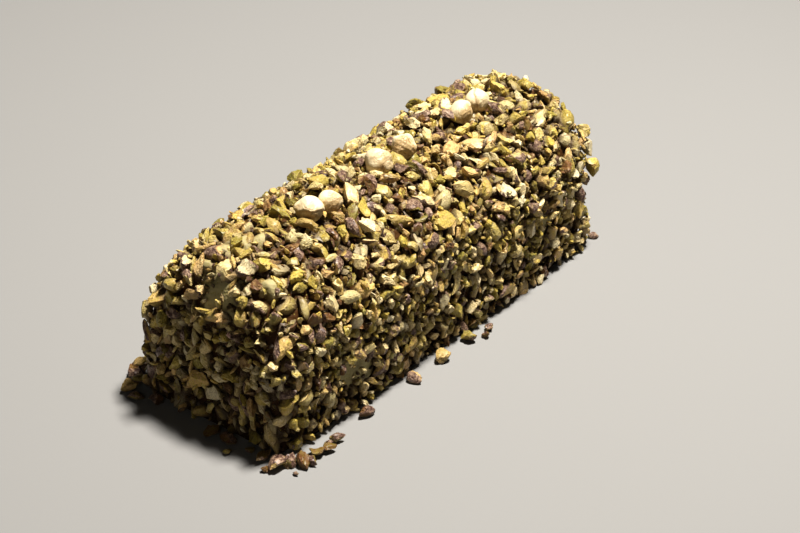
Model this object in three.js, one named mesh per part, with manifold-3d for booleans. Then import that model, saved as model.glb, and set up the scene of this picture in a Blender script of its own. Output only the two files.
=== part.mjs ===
// An ice cream log cake: a loaf of ice cream with upright sides and a rounded crown, coated all over in
// coarsely chopped pistachios, with three pairs of blanched hazelnuts along the top.
// Millimetres. X runs along the log, Y across it and Z up. The log rests on z = 0, its middle over the origin.
import * as THREE from 'three';
import { mergeVertices } from 'three/addons/utils/BufferGeometryUtils.js';
import Module from 'manifold-3d';

const wasm = await Module();
wasm.setup();

// The ice cream under the nuts.
const LENGTH = 270;
const WIDTH = 93;
const HEIGHT = 95.5;
const WALL = 57; // height of the upright sides, where the crown begins
const CROWN_POWER = 1.8; // 2 would make the crown a half ellipse, and less is more pointed
const PLAN_POWER = 24; // how square the corners are, seen from above
const NEAR_END_POWER = 8; // how late the crown rounds down to the near end
const FAR_END_POWER = 18; // and to the far end, which was pressed squarer
const AXIS_HEIGHT = 42; // the surface is found outwards from a line at this height
const SOLE = 8; // the coat is made this far below the base, then trimmed level

// How far the hand-made log strays from its even shape, in long shallow waves.
const SWELL = 1.3;

// The coat of fine chopped nuts, as bumps: each second point of a grid is the top of a nut, the others lie between.
const GRAIN_SPACING = 6.5;
const GRAIN_TOP = [2.2, 4.4];
const GRAIN_GAP = [0.2, 1.3];
const GRAIN_SHIFT = 1.4; // how far a point strays sideways

// The largest pieces, which stand out of the coat one by one.
const KERNELS = 100;
const KERNEL_SPACING = 18;
const KERNEL_HALF_LENGTH = [4.6, 6.8];
const KERNEL_HALF_WIDTH = [3.2, 4.4];
const KERNEL_HALF_DEPTH = [2.6, 3.4];
const KERNEL_LIFT = [0.6, 2.0]; // of its middle above the ice cream
const KERNEL_TILT = 0.45; // radians either way
const KERNEL_CORNER = [0.86, 1.16]; // how far out each corner is, in parts of the even pebble's
const KERNEL_FLOOR = 4; // none is centred lower than this

// Places where the ice cream shows bare: where on the surface, and how wide.
const BARE_PATCHES = [
  { x: -131, y: -2, z: 77, radius: 9 },
  { x: -84, y: -47, z: 24, radius: 8 },
  { x: 92, y: -47, z: 34, radius: 6 },
  { x: 60, y: 47, z: 40, radius: 7 },
  { x: 132, y: 14, z: 46, radius: 7 },
];

// The hazelnuts, near end first: place along and across, diameter, and which way the tip leans.
const HAZELNUTS = [
  { x: -69.6, y: -8, diameter: 15.2, lean: 1.3, turn: 2.2 },
  { x: -55.2, y: -9.4, diameter: 13.2, lean: 1.2, turn: 0.4 },
  { x: -8.6, y: -5, diameter: 14.6, lean: 0.5, turn: 3.6 },
  { x: 15.4, y: -3.2, diameter: 14.4, lean: 1.4, turn: 5.1 },
  { x: 63.8, y: -5, diameter: 13.0, lean: 0.8, turn: 1.3 },
  { x: 79.8, y: -4.1, diameter: 13.4, lean: 1.1, turn: 4.4 },
];
const HAZELNUT_RISE = 0.4; // of the diameter, from the ice cream to the nut's middle
const HAZELNUT_TIP = 0.09; // parts of the radius that the tip stands out
const HAZELNUT_FOOT = 0.1; // and that the foot is flattened
const HAZELNUT_RIB = 0.018; // and that the shallow ribs stand out and in
const HAZELNUT_RIBS = 5;
const HAZELNUT_DETAIL = 3;
const SEAT_GAP = 0.5; // between a hazelnut and its seat
const SEAT_DETAIL = 2;

const NUT_COLOUR = 0xa9a04e;
const HAZELNUT_COLOUR = 0xe6d3a6;

// Where the draws for each kind of unevenness begin.
const COAT_SEED = 11;
const PLACES_SEED = 2024;
const PIECES_SEED = 77;

// Seeded draws, by the minimal standard generator of Park and Miller.
const MODULUS = 2147483647;
const MULTIPLIER = 48271;

function drawsFrom(seed) {
  let state = seed;
  return (low = 0, high = 1) => {
    state = (state * MULTIPLIER) % MODULUS;
    return low + (high - low) * (state / MODULUS);
  };
}

// Whether a point lies in the ice cream, with its straight sides carried on below the base.
function isInside(p) {
  const along = Math.abs(p.x) / (LENGTH / 2);
  if (along >= 1 || p.z < -SOLE) return false;
  const narrowing = (1 - along ** PLAN_POWER) ** (1 / PLAN_POWER);
  const power = p.x < 0 ? NEAR_END_POWER : FAR_END_POWER;
  const lowering = (1 - along ** power) ** (1 / power);
  const across = Math.abs(p.y) / ((WIDTH / 2) * narrowing);
  const height = p.z / lowering;
  if (height < WALL) return across < 1;
  return across ** CROWN_POWER + ((height - WALL) / (HEIGHT - WALL)) ** CROWN_POWER < 1;
}

// How far the surface stands proud of the even shape round a place.
function swellAt({ x, y, z }) {
  const broad = Math.sin(x / 33 + y / 41 + 0.7) * Math.cos(z / 29 - x / 60);
  const short = Math.sin(x / 16 - z / 19 + y / 23 + 2);
  return SWELL * (broad + 0.45 * short);
}

// The nearest point to p of the log's inner axis.
function axisPoint(p) {
  const reach = LENGTH / 2 - WIDTH / 2;
  return new THREE.Vector3(THREE.MathUtils.clamp(p.x, -reach, reach), 0, AXIS_HEIGHT);
}

// The point of the surface straight outwards through p.
function surfaceThrough(p) {
  const anchor = axisPoint(p);
  const way = p.clone().sub(anchor).normalize();
  const halvings = 40;
  let near = 0;
  let far = LENGTH;
  for (let i = 0; i < halvings; i++) {
    const middle = (near + far) / 2;
    if (isInside(anchor.clone().addScaledVector(way, middle))) near = middle;
    else far = middle;
  }
  const even = anchor.addScaledVector(way, near);
  return even.addScaledVector(way, swellAt(even));
}

// The outward direction at a point of the surface, from how the surface runs on around it.
function outwardAt(p) {
  const way = p.clone().sub(axisPoint(p)).normalize();
  const side = new THREE.Vector3(0, -way.z, way.y);
  if (side.length() < 0.1) side.set(0, 1, 0);
  const first = side.normalize();
  const second = way.clone().cross(first).normalize();
  const step = 1.5;
  const at = (a, b) => surfaceThrough(p.clone().addScaledVector(first, a).addScaledVector(second, b));
  const runA = at(step, 0).sub(at(-step, 0));
  const runB = at(0, step).sub(at(0, -step));
  const out = runA.cross(runB).normalize();
  return out.dot(way) < 0 ? out.negate() : out;
}

// 1 where the coat is full, falling to 0 in a bare patch.
function coverAt(p) {
  let cover = 1;
  for (const patch of BARE_PATCHES) {
    const away = p.distanceTo(new THREE.Vector3(patch.x, patch.y, patch.z)) / patch.radius;
    cover = Math.min(cover, THREE.MathUtils.smoothstep(away, 0.7, 1.2));
  }
  return cover;
}

function solidOf(geometry) {
  geometry.deleteAttribute('normal');
  geometry.deleteAttribute('uv');
  const merged = mergeVertices(geometry, 1e-4);
  const vertProperties = new Float32Array(merged.attributes.position.array);
  const triVerts = new Uint32Array(merged.index.array);
  return new wasm.Manifold(new wasm.Mesh({ numProp: 3, vertProperties, triVerts }));
}

function geometryOf(solid) {
  const { vertProperties, triVerts } = solid.getMesh();
  return new THREE.BufferGeometry()
    .setAttribute('position', new THREE.BufferAttribute(new Float32Array(vertProperties), 3))
    .setIndex(new THREE.BufferAttribute(new Uint32Array(triVerts), 1));
}

// Each square of the grid is split between its two low corners, so that every top stands alone.
function splitBetweenLows(skin, isTop) {
  const corners = skin.index;
  for (let i = 0; i < corners.count; i += 6) {
    const a = corners.getX(i);
    const b = corners.getX(i + 1);
    const c = corners.getX(i + 4);
    const d = corners.getX(i + 5);
    if (isTop[b]) [a, b, c, a, c, d].forEach((corner, k) => corners.setX(i + k, corner));
  }
}

// The ice cream with its coat of fine nuts, as one closed skin with a bump for each nut.
function coatSolid() {
  const tall = HEIGHT + SOLE;
  const counts = [LENGTH, WIDTH, tall].map((side) => Math.round(side / GRAIN_SPACING));
  const box = new THREE.BoxGeometry(LENGTH, WIDTH, tall, ...counts);
  box.deleteAttribute('normal');
  box.deleteAttribute('uv');
  const skin = mergeVertices(box, 1e-3);
  const points = skin.attributes.position;
  const isTop = [];
  for (let i = 0; i < points.count; i++) {
    const p = new THREE.Vector3().fromBufferAttribute(points, i);
    const steps =
      Math.round((p.x / LENGTH + 0.5) * counts[0]) +
      Math.round((p.y / WIDTH + 0.5) * counts[1]) +
      Math.round((p.z / tall + 0.5) * counts[2]);
    isTop.push(steps % 2 === 0);
    p.z += tall / 2 - SOLE;
    const q = surfaceThrough(p);
    points.setXYZ(i, q.x, q.y, q.z);
  }
  splitBetweenLows(skin, isTop);
  skin.computeVertexNormals();
  const normals = skin.attributes.normal;
  const draw = drawsFrom(COAT_SEED);
  for (let i = 0; i < points.count; i++) {
    const p = new THREE.Vector3().fromBufferAttribute(points, i);
    const out = new THREE.Vector3().fromBufferAttribute(normals, i);
    const cover = coverAt(p);
    const stray = new THREE.Vector3(draw(-1), draw(-1), draw(-1)).projectOnPlane(out);
    const height = draw(...(isTop[i] ? GRAIN_TOP : GRAIN_GAP)) * cover;
    p.addScaledVector(stray, GRAIN_SHIFT * cover).addScaledVector(out, height);
    points.setXYZ(i, p.x, p.y, p.z);
  }
  return solidOf(skin);
}

// A point drawn evenly over a box round the log, carried to the surface. Its sole isn't drawn from.
function drawSite(draw) {
  const sides = [2 * LENGTH * HEIGHT, LENGTH * WIDTH, 2 * WIDTH * HEIGHT];
  const pick = draw(0, sides[0] + sides[1] + sides[2]);
  const a = draw(-0.5, 0.5);
  const b = draw(-0.5, 0.5);
  const sign = draw() < 0.5 ? -1 : 1;
  const p = new THREE.Vector3();
  if (pick < sides[0]) p.set(a * LENGTH, (sign * WIDTH) / 2, (b + 0.5) * HEIGHT);
  else if (pick < sides[0] + sides[1]) p.set(a * LENGTH, b * WIDTH, HEIGHT);
  else p.set((sign * LENGTH) / 2, a * WIDTH, (b + 0.5) * HEIGHT);
  return surfaceThrough(p);
}

// The largest pieces, spread evenly: each is where no earlier one, hazelnut or bare patch is too near.
function kernelPlaces() {
  const draw = drawsFrom(PLACES_SEED);
  const places = [];
  while (places.length < KERNELS) {
    const site = drawSite(draw);
    const spin = draw(0, 2 * Math.PI);
    const tiltA = draw(-KERNEL_TILT, KERNEL_TILT);
    const tiltB = draw(-KERNEL_TILT, KERNEL_TILT);
    const half = [draw(...KERNEL_HALF_LENGTH), draw(...KERNEL_HALF_WIDTH), draw(...KERNEL_HALF_DEPTH)];
    const lift = draw(...KERNEL_LIFT);
    const crowded = places.some((other) => other.site.distanceTo(site) < KERNEL_SPACING);
    const underHazelnut = HAZELNUTS.some(
      (nut) => Math.hypot(nut.x - site.x, nut.y - site.y) < nut.diameter / 2 + half[0] && site.z > WALL,
    );
    if (crowded || underHazelnut || site.z < KERNEL_FLOOR || coverAt(site) < 1) continue;
    places.push({ site, spin, tiltA, tiltB, half, lift });
  }
  return places;
}

// One chopped piece: a faceted pebble, turned to lie on the log with its long way along the surface.
function kernelSolid({ site, spin, tiltA, tiltB, half, lift }, draw) {
  const pebble = new THREE.IcosahedronGeometry(1, 0);
  pebble.deleteAttribute('normal');
  pebble.deleteAttribute('uv');
  const merged = mergeVertices(pebble, 1e-4);
  const points = merged.attributes.position;
  for (let i = 0; i < points.count; i++) {
    const p = new THREE.Vector3().fromBufferAttribute(points, i).multiplyScalar(draw(...KERNEL_CORNER));
    points.setXYZ(i, p.x * half[0], p.y * half[1], p.z * half[2]);
  }
  const out = outwardAt(site);
  const along = new THREE.Vector3(1, 0, 0).projectOnPlane(out);
  if (along.length() < 0.3) along.set(0, 1, 0).projectOnPlane(out);
  const across = out.clone().cross(along.normalize());
  const lie = new THREE.Quaternion().setFromRotationMatrix(new THREE.Matrix4().makeBasis(along, across, out));
  lie.multiply(new THREE.Quaternion().setFromEuler(new THREE.Euler(tiltA, tiltB, spin, 'XYZ')));
  const middle = site.clone().addScaledVector(out, lift);
  merged.applyMatrix4(new THREE.Matrix4().compose(middle, lie, new THREE.Vector3(1, 1, 1)));
  return solidOf(merged);
}

// A blanched hazelnut about its own middle: a ball with a blunt tip, a flattened foot and shallow ribs.
function hazelnutGeometry(diameter, grow, detail) {
  const ball = new THREE.IcosahedronGeometry(1, detail);
  const points = ball.attributes.position;
  for (let i = 0; i < points.count; i++) {
    const p = new THREE.Vector3().fromBufferAttribute(points, i).normalize();
    const tip = HAZELNUT_TIP * Math.max(p.z, 0) ** 6;
    const foot = HAZELNUT_FOOT * Math.max(-p.z, 0) ** 4;
    const ribs = HAZELNUT_RIB * Math.cos(HAZELNUT_RIBS * Math.atan2(p.y, p.x)) * (1 - p.z * p.z);
    p.multiplyScalar((diameter / 2) * (1 + tip - foot + ribs) + grow);
    points.setXYZ(i, p.x, p.y, p.z);
  }
  return ball;
}

// Where a hazelnut's middle is, and how it lies.
function hazelnutPose({ x, y, diameter, lean, turn }) {
  const middle = surfaceThrough(new THREE.Vector3(x, y, HEIGHT));
  middle.z += HAZELNUT_RISE * diameter;
  const lie = new THREE.Euler(lean, 0, turn, 'ZYX');
  return { middle, lie };
}

function hazelnutSeat(nut) {
  const { middle, lie } = hazelnutPose(nut);
  const turned = new THREE.Quaternion().setFromEuler(lie);
  const seat = hazelnutGeometry(nut.diameter, SEAT_GAP, SEAT_DETAIL);
  return solidOf(seat.applyMatrix4(new THREE.Matrix4().compose(middle, turned, new THREE.Vector3(1, 1, 1))));
}

// All of the coat, with its large pieces fused on, its sole trimmed level and a seat pressed in for each hazelnut.
function logGeometry() {
  const draw = drawsFrom(PIECES_SEED);
  let log = coatSolid();
  for (const place of kernelPlaces()) log = log.add(kernelSolid(place, draw));
  for (const nut of HAZELNUTS) log = log.subtract(hazelnutSeat(nut));
  const room = new THREE.BoxGeometry(2 * LENGTH, 2 * WIDTH, 2 * HEIGHT).translate(0, 0, HEIGHT);
  const pieces = log.intersect(solidOf(room)).decompose();
  pieces.sort((a, b) => b.volume() - a.volume());
  return geometryOf(pieces[0]);
}

function matt(color, roughness) {
  return new THREE.MeshStandardMaterial({ color, roughness, metalness: 0 });
}

const cake = new THREE.Group();

const log = new THREE.Mesh(logGeometry(), matt(NUT_COLOUR, 0.75));
log.name = 'nut_coated_log';
cake.add(log);

HAZELNUTS.forEach((nut, i) => {
  const mesh = new THREE.Mesh(hazelnutGeometry(nut.diameter, 0, HAZELNUT_DETAIL), matt(HAZELNUT_COLOUR, 0.6));
  const { middle, lie } = hazelnutPose(nut);
  mesh.name = `hazelnut_${i + 1}`;
  mesh.position.copy(middle);
  mesh.rotation.copy(lie);
  cake.add(mesh);
});

export default cake;
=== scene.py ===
"""An ice cream log cake: pistachio ice cream in a loaf with a rounded crown, coated in coarsely chopped
pistachios, with three pairs of blanched hazelnuts along the top.

Shapes are worked out in millimetres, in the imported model's frame, and turned to metres where a mesh is made.
"""

import collections
import functools
import math

import bpy
import numpy as np
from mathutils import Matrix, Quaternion, Vector


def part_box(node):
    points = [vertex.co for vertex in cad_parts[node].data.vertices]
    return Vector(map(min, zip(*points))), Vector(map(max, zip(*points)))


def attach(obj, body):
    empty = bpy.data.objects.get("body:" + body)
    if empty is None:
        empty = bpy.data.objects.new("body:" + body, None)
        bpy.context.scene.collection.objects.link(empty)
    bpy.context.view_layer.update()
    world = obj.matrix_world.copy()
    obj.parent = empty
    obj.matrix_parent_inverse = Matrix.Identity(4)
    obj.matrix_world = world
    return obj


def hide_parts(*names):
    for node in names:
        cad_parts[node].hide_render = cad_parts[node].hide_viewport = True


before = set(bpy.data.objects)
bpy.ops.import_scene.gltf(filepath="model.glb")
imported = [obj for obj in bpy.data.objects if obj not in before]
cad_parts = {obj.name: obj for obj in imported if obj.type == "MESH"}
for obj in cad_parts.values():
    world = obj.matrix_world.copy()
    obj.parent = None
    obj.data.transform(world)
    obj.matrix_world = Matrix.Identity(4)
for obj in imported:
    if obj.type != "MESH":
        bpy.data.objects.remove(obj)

bl_info = {
    "name": "Ice cream log cake",
    "version": (1, 0, 0),
    "blender": (4, 5, 0),
    "location": "3D View > Sidebar > Log cake",
    "description": "Builds an ice cream log in a coat of chopped pistachios, with hazelnuts along its top",
    "category": "Add Mesh",
}

BODY = "root"
LOG_NODE = "nut_coated_log"
HAZELNUT_NODES = sorted(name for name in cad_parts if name.startswith("hazelnut"))
MM = 0.001
BAKE_MAP = "OFBake"  # the name of each piece's own unfolded map

# The ice cream under the nuts, as the solid log has it. The powers say how square its outlines are.
LENGTH, WIDTH, HEIGHT = 270.0, 93.0, 95.5
WALL = 57.0  # height of the upright sides, where the crown begins
CROWN_POWER, PLAN_POWER, NEAR_END_POWER, FAR_END_POWER = 1.8, 24.0, 8.0, 18.0
AXIS_HEIGHT = 42.0  # the surface is found outwards from a line at this height
HALVINGS = 36  # of the distance from that line
BASE_SKIN = 0.01  # points lower than this lie on the base
SWELL = 1.3  # height of its long shallow waves
SUNK = 1.5  # how deep the nuts are pressed into it, while it swells up to its full size where it is bare
STROKES = (0.35, 0.3)  # depth of the palette knife's short and long strokes
SKIN_STEP = 2.4  # between the points of its mesh

# Where the ice cream shows bare: place and radius.
BARE_PATCHES = [
    (-131, -2, 77, 9),
    (-84, -47, 24, 8),
    (92, -47, 34, 6),
    (60, 47, 40, 7),
    (132, 14, 46, 7),
]
FINE_PATCHES = [(-70, -47, 21, 7.5), (-77, -47, 28, 6)]  # bare places that the solid log leaves out
PATCH_GROWTH = 1.35  # nuts lean over the patches' edges, so that their middles keep further off
PATCH_BARE, PATCH_FADE = 0.7, 0.5  # where the coat begins, and how far on it is full, in a patch's radii
# Where the ice cream has come up between the nuts and lies over the lower ones: place and radius.
SMEARS = [(-125, 14, 87, 6.5), (-116, 10, 91, 7.5), (-107, 4, 93, 7), (-99, -2, 94, 6), (-118, -24, 84, 6)]
SMEAR_RISE, SMEAR_REACH = 5.4, 1.3  # its height in mm, and how far out it ends in its radii

# How the nuts of the coat lie.
CLUMP = 1.3  # how far handfuls of nuts stand higher or lower than the rest
LOWEST = 1.6  # no nut of the coat is pressed in lower than this
CREASE = 20.0  # degrees: edges of the nuts' breaks that bend by more are sharp
FOOT_SHADE, FOOT = 1.6, 40.0  # how much lower the nuts at the foot count for the painted shade than those from FOOT up, so they are painted darker towards the foot
CROWN_START, CROWN_RISE = 62.0, 22.0  # nuts are coarser on the crown, from this height on
NEAR_CROWN, NEAR_CROWN_REACH = -112.0, 30.0  # where along the crown they are coarsest, and how far round
NEAR_END_COARSE, NEAR_END_REACH = 0.85, 14.0
COARSE_GROWTH = 0.35  # how much larger the coarsest are
HAZELNUT_ROOM = 0.4  # how far nuts keep off the hazelnuts, in their radii
ABOVE_FLOOR = 0.05
DROPPED_SHADE_LIFT = 3.0  # dropped nuts get as little painted shade as those this much higher up

# A layer of the coat: how finely its pieces are made, their least and greatest half sizes, between which
# heights above the ice cream their tops lie, how far they tilt, how close they lie, and the shares that lie
# any way up and that stray onto the bare places.
Layer = collections.namedtuple("Layer", "steps least greatest top tilt closeness tumbled stray")
KERNEL_LAYER = Layer(7, (4.8, 3.4, 2.3), (7.0, 4.6, 3.8), (4.6, 8.0), 0.5, 0.84, 0.35, 0.0)
BOTTOM_LAYER = Layer(3, (3.1, 2.5, 1.9), (4.9, 4.1, 3.1), (0.8, 4.0), 0.6, 0.74, 0.6, 0.0)
TOP_LAYER = Layer(5, (2.6, 2.1, 1.6), (4.8, 3.8, 2.8), (3.6, 7.8), 0.8, 0.74, 0.7, 0.0)
SLIVER_LAYER = Layer(3, (2.2, 1.0, 0.6), (4.2, 2.2, 1.4), (3.2, 7.2), 0.8, 1.0, 0.6, 0.2)
GRAIN_LAYER = Layer(2, (0.8, 0.6, 0.5), (1.9, 1.6, 1.3), (1.0, 5.0), 0.8, 0.8, 0.5, 0.4)
BOTTOM_SHARE = 0.4  # of the chopped pieces
TRIES = 14  # places drawn for each nut
UNEVEN = (0.82, 1.18)
TUMBLE = 1.5  # how far those that lie any way up tilt, in radians
KINDS = ("green", "golden", "skinned")
KIND_SHARES = (0.44, 0.40, 0.16)
COAT_SEED = 41

# The largest pieces, by the solid log's own rule.
KERNELS = 100
KERNEL_SPACING = 18.0
KERNEL_HALF_LENGTH = (4.6, 6.8)
KERNEL_HALF_WIDTH = (3.2, 4.4)
KERNEL_HALF_DEPTH = (2.6, 3.4)
KERNEL_LIFT = (0.6, 2.0)
KERNEL_TILT = 0.45
KERNEL_FLOOR = 4.0
PROUD_KERNELS = [
    (139.0, -40.0, 71.0),
    (138.0, -43.0, 61.0),
    (136.0, -46.0, 51.0),
    (-138.0, 30.0, 76.0),
    (-124.0, -12.0, 92.0),
]  # where single kernels stand well out of the coat
PROUD_HALF, PROUD_TOP = (5.6, 4.4, 3.8), 9.8
# The pieces that show most, round the hazelnuts: along, across, up, kind, half length, half width, turn.
PLACED_PIECES = [
    (-87, -18, 89, "golden", 5.0, 3.5, 0.9),
    (-79, 2, 93, "green", 7.0, 3.0, 1.7),
    (-77, -12, 92, "golden", 6.5, 3.5, 1.8),
    (-71, -22, 88, "golden", 5.0, 3.5, 1.3),
    (-60, -17, 91, "golden", 4.5, 3.5, 2.5),
    (-57, -24, 87, "skinned", 6.0, 3.5, 1.7),
    (-51, -19, 90, "skinned", 5.5, 3.0, 1.1),
    (-50, -27, 86, "golden", 5.5, 4.5, 1.3),
    (-50, 3, 94, "green", 5.0, 3.5, 2.8),
    (-44, -20, 90, "green", 6.0, 3.0, 1.2),
    (-41, -11, 93, "golden", 7.0, 4.0, 1.2),
    (-37, 25, 85, "green", 7.0, 4.5, 3.1),
    (-34, 0, 95, "skinned", 6.5, 3.0, 0.7),
    (-26, -12, 93, "skinned", 6.0, 3.5, 1.3),
    (-15, -15, 92, "golden", 5.5, 3.0, 2.1),
    (-2, -12, 92, "skinned", 4.5, 3.0, 1.5),
    (-2, -19, 89, "green", 4.5, 3.0, 2.6),
    (7, -16, 90, "skinned", 6.5, 3.0, 1.8),
    (24, -33, 79, "golden", 7.0, 4.5, 2.4),
    (29, -13, 90, "golden", 5.5, 3.0, 3.1),
    (33, -5, 92, "green", 7.0, 3.0, 1.0),
    (34, -29, 82, "golden", 5.5, 3.5, 2.8),
    (42, 10, 92, "golden", 6.0, 3.5, 1.4),
    (52, -20, 88, "golden", 6.0, 4.0, 2.3),
    (54, -12, 91, "green", 4.5, 3.5, 2.5),
    (58, 0, 94, "green", 7.0, 4.0, 1.4),
    (69, -35, 78, "skinned", 6.0, 4.0, 2.7),
    (73, 29, 83, "green", 7.0, 5.0, 1.1),
    (85, -12, 92, "skinned", 7.0, 3.5, 2.4),
    (107, 35, 74, "skinned", 7.0, 4.5, 0.5),
]
PLACED_TOP, PLACED_STEPS, PLACED_DEPTH = 8.4, 6, 0.75  # their depth in half widths
STANDING_TILT = 0.2

HAZELNUT_PLACES = [
    (-69.6, -8, 15.2, 1.3, 2.2),
    (-55.2, -9.4, 13.2, 1.2, 0.4),
    (-8.6, -5, 14.6, 0.5, 3.6),
    (15.4, -3.2, 14.4, 1.4, 5.1),
    (63.8, -5, 13.0, 0.8, 1.3),
    (79.8, -4.1, 13.4, 1.1, 4.4),
]  # along, across, diameter, and the tip's lean and turn in radians
HAZELNUT_LEDGES = {
    0: ((0.3, 0.3, 0.9), 0.07),
    4: ((-0.58, 0.22, 0.78), 0.045),
    5: ((0.55, -0.8, 0.25), 0.02),
}  # which way the half looks that has slipped outwards, and how far in radii
HAZELNUT_BROWNED = [
    ((-0.79, -0.37, -0.41), 0.45, 0.02),
    ((-0.07, -0.94, -0.05), 0.5, 0.02),
    ((0.0, -0.75, 0.3), 0.4, 0.12),
    ((-0.62, -0.6, 0.0), 0.75, 0.12),
    ((-0.15, -0.89, -0.27), 0.5, 0.02),
    ((-0.3, -0.5, -0.5), 0.4, 0.03),
]  # the side of each that has browned, how much, and how deep the hollow in it is
# How much wider and taller each is than its even solid, along two slanting lines.
SLANT_ACROSS = np.array((0.61, -0.79, 0.04))
SLANT_UP = np.array((0.41, 0.35, 0.84))
HAZELNUT_STRETCH = [(0.99, 0.9), (0.97, 0.95), (1.1, 0.98), (0.96, 1.05), (0.98, 1.03), (1.03, 1.0)]
# How far its tip, foot, ribs, lumps, fine lines and puckers stand out or in, in its radii.
TIP, BLUNT_FOOT, RIB, LUMP, LINE, PUCKER = 0.09, 0.1, 0.018, 0.014, 0.006, 0.1
HAZELNUT_FACETS, FACET_GAPS = 14, (0.89, 1.02)  # how many places are worn flatter, and how far out they lie
WIDEST, FACET_SHARPNESS = 1.03, 26
RIBS, LINES = 5, 19  # how many run round it
HOLLOW_WIDTH = 0.09  # of the hollow in its browned side, as 1 less the cosine of its half angle
# The seam between its halves, in its radii: its width, its step's width, its depth, and how far it wanders.
SEAM_WIDTH, STEP_WIDTH, SEAM_DEPTH, SEAM_WANDER = 0.06, 0.05, 0.04, 0.06
HAZELNUT_SEED, HAZELNUT_STEPS = 100, 22

# Nuts that have dropped to the foot: along, across, half length, and how high their undersides rest.
DROPPED = [
    (-124.8, 59.5, 5.2, 0),
    (-132.5, 57.0, 5.4, 0),
    (-128.0, 57.0, 4.6, 5),
    (-117.5, 58.5, 4.4, 0),
    (-141.9, 52.5, 5.0, 0),
    (-138.0, 49.5, 4.4, 4),
    (-145.6, 43.8, 4.6, 0),
    (-141.5, 33.0, 4.2, 0),
    (-144.4, -7.6, 5.0, 0),
    (-142.5, -16.9, 5.2, 0),
    (-150.7, -23.0, 2.6, 0),
    (-142.6, -31.4, 2.6, 0),
    (-143.0, -41.0, 4.6, 0),
    (-142.5, -49.5, 6.2, 0),
    (-149.6, -47.6, 2.4, 0),
    (-138.0, -53.5, 5.2, 0),
    (-133.4, -58.6, 5.4, 0),
    (-129.3, -61.0, 3.8, 0),
    (-122.4, -58.4, 5.0, 0),
    (-115.8, -60.6, 3.8, 0),
    (-111.8, -57.6, 2.6, 0),
    (-106.2, -58.9, 4.2, 0),
    (-142.0, -61.0, 1.6, 0),
    (-78.8, -56.4, 4.6, 0),
    (-38.0, -56.2, 5.0, 0),
    (-12.8, -56.0, 5.6, 0),
    (11.0, -55.6, 4.6, 0),
    (19.4, -60.4, 2.6, 0),
    (26.6, -57.6, 3.0, 0),
    (143.7, -46.8, 3.6, 0),
]
DROPPED_STEPS = 6
DROPPED_SHAPES = (1, 0.6, 0.45), (1, 0.85, 0.65)  # least and greatest half sizes, in half lengths
DROPPED_TILTS = (0.3, 0.2)

# The multiplying generator that the solid log's draws come from.
MODULUS = 2147483647
MULTIPLIER = 48271
KERNEL_SEED = 2024

# How nuts break. Gaps are a break's distance from the piece's middle, in half sizes of the whole kernel.
SPLIT_GAPS, END_GAPS, CHIP_GAPS, NO_BREAK = (0.36, 0.5), (0.35, 0.75), (0.34, 0.85), 9.0
SPLIT_CENTRE = -0.42  # height of the middle of a split kernel's rounded outside, about at its split face
CENTRE_DRIFT = (0.35, 0.2)  # how far that middle lies off the piece's own, along and across
END_SLANT = (0.1, 0.5, 0.5)
BITE_WIDTHS, BITE_DEPTH = (0.08, 0.3), 0.5
WAVE_DEPTH, WAVES_ROUND = 0.07, 2.6  # of the kernel's uneven outside
CURL = 0.25  # how far pieces bend and twist
FLATTEST = 0.02  # the least slope of a way towards a break that still reaches it
# How near to an edge or corner a point is moved onto it, in distances between points, and how far it goes.
EDGE_REACH, EDGE_SNAP, CORNER_REACH, CORNER_SNAP = 0.5, 0.94, 0.4, 0.9
BLUNTEST_EDGE, BLUNTEST_CORNER = 0.25, 0.2  # sines of the least angles that count as an edge and a corner

# Real sizes of what shows on each surface, in metres. Those said to be drawn coarser are too fine to show as
# they are.
FLESH_PATCH = 2.6 * MM  # greener and yellower patches of a pistachio
FLESH_GRAIN = 1.0 * MM  # grain of its breaks, drawn about three times coarser
SKIN_FOLD = 3.4 * MM  # wrinkles of its dried skin, and the cracks in its flesh
PISTACHIO_RELIEF = 1.3 * MM  # drawn deeper than it is, to show from the camera
KNIFE_STROKE = 9 * MM
FLECK_SPACING = 1.6 * MM
ICE_CREAM_RELIEF = 0.6 * MM
TAN_BLOTCH = 6 * MM
HAZELNUT_PORE = 0.8 * MM  # drawn about twice as coarse
HAZELNUT_CREASE = 5 * MM
HAZELNUT_RELIEF = 0.5 * MM
PAPER_TOOTH = 1.2 * MM  # drawn several times coarser
PAPER_RELIEF = 0.1 * MM
NUT_IOR = 1.47  # of the oil in both kinds of nut

PATCH_CONTRAST = 0.9  # how far a pistachio's patches wander along its ramp of colours
RIND_GREEN = 0.45  # how much greener its outside is than its breaks
# How high ice cream clings to a nut, in mm above the ice cream's surface.
FROST_START, FROST_RISE, FROST_RAGGED = -0.9, 3.2, 3.0
FROST_SPREAD, FROST_COARSE = 0.45, 0.3  # how uneven it is, and how much more of it coarse nuts have
GAP_SHADE_TOP, GAP_SHADE_FULL = 4.2, 0.8  # painted shade: the height above the ice cream where the darkening between the nuts begins and where it is darkest, in mm

# The stage, in metres.
FLOOR_REACH = 3.0
LAMPS = (
    ("Main_light", "key_power", (0.26, -0.12, 1.44), 0.2),
    ("Front_light", "fill_power", (-1.5, -0.7, 1.0), 0.8),
)  # name, setting, place and width
LAMP_COLOUR = (1.0, 0.965, 0.91)
ROOM_COLOUR = (1.0, 0.97, 0.93, 1.0)
CAMERA_PLACE, CAMERA_AIM = Vector((-0.9268, -0.7026, 0.7731)), Vector((-0.0173, -0.0281, 0.05))
CAMERA_ROLL = math.radians(2.42)
CAMERA_NEAR, CAMERA_FAR = 0.05, 20.0
SENSOR_WIDTH = 36.0  # mm


# ---------------------------------------------------------------- sizes and colours that a user would change

def linear(code):
    """An sRGB hex colour as the linear red, green, blue and alpha that shaders take."""
    parts = [int(code[i : i + 2], 16) / 255 for i in (0, 2, 4)]
    return tuple(c / 12.92 if c <= 0.04045 else ((c + 0.055) / 1.055) ** 2.4 for c in parts) + (1.0,)


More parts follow.
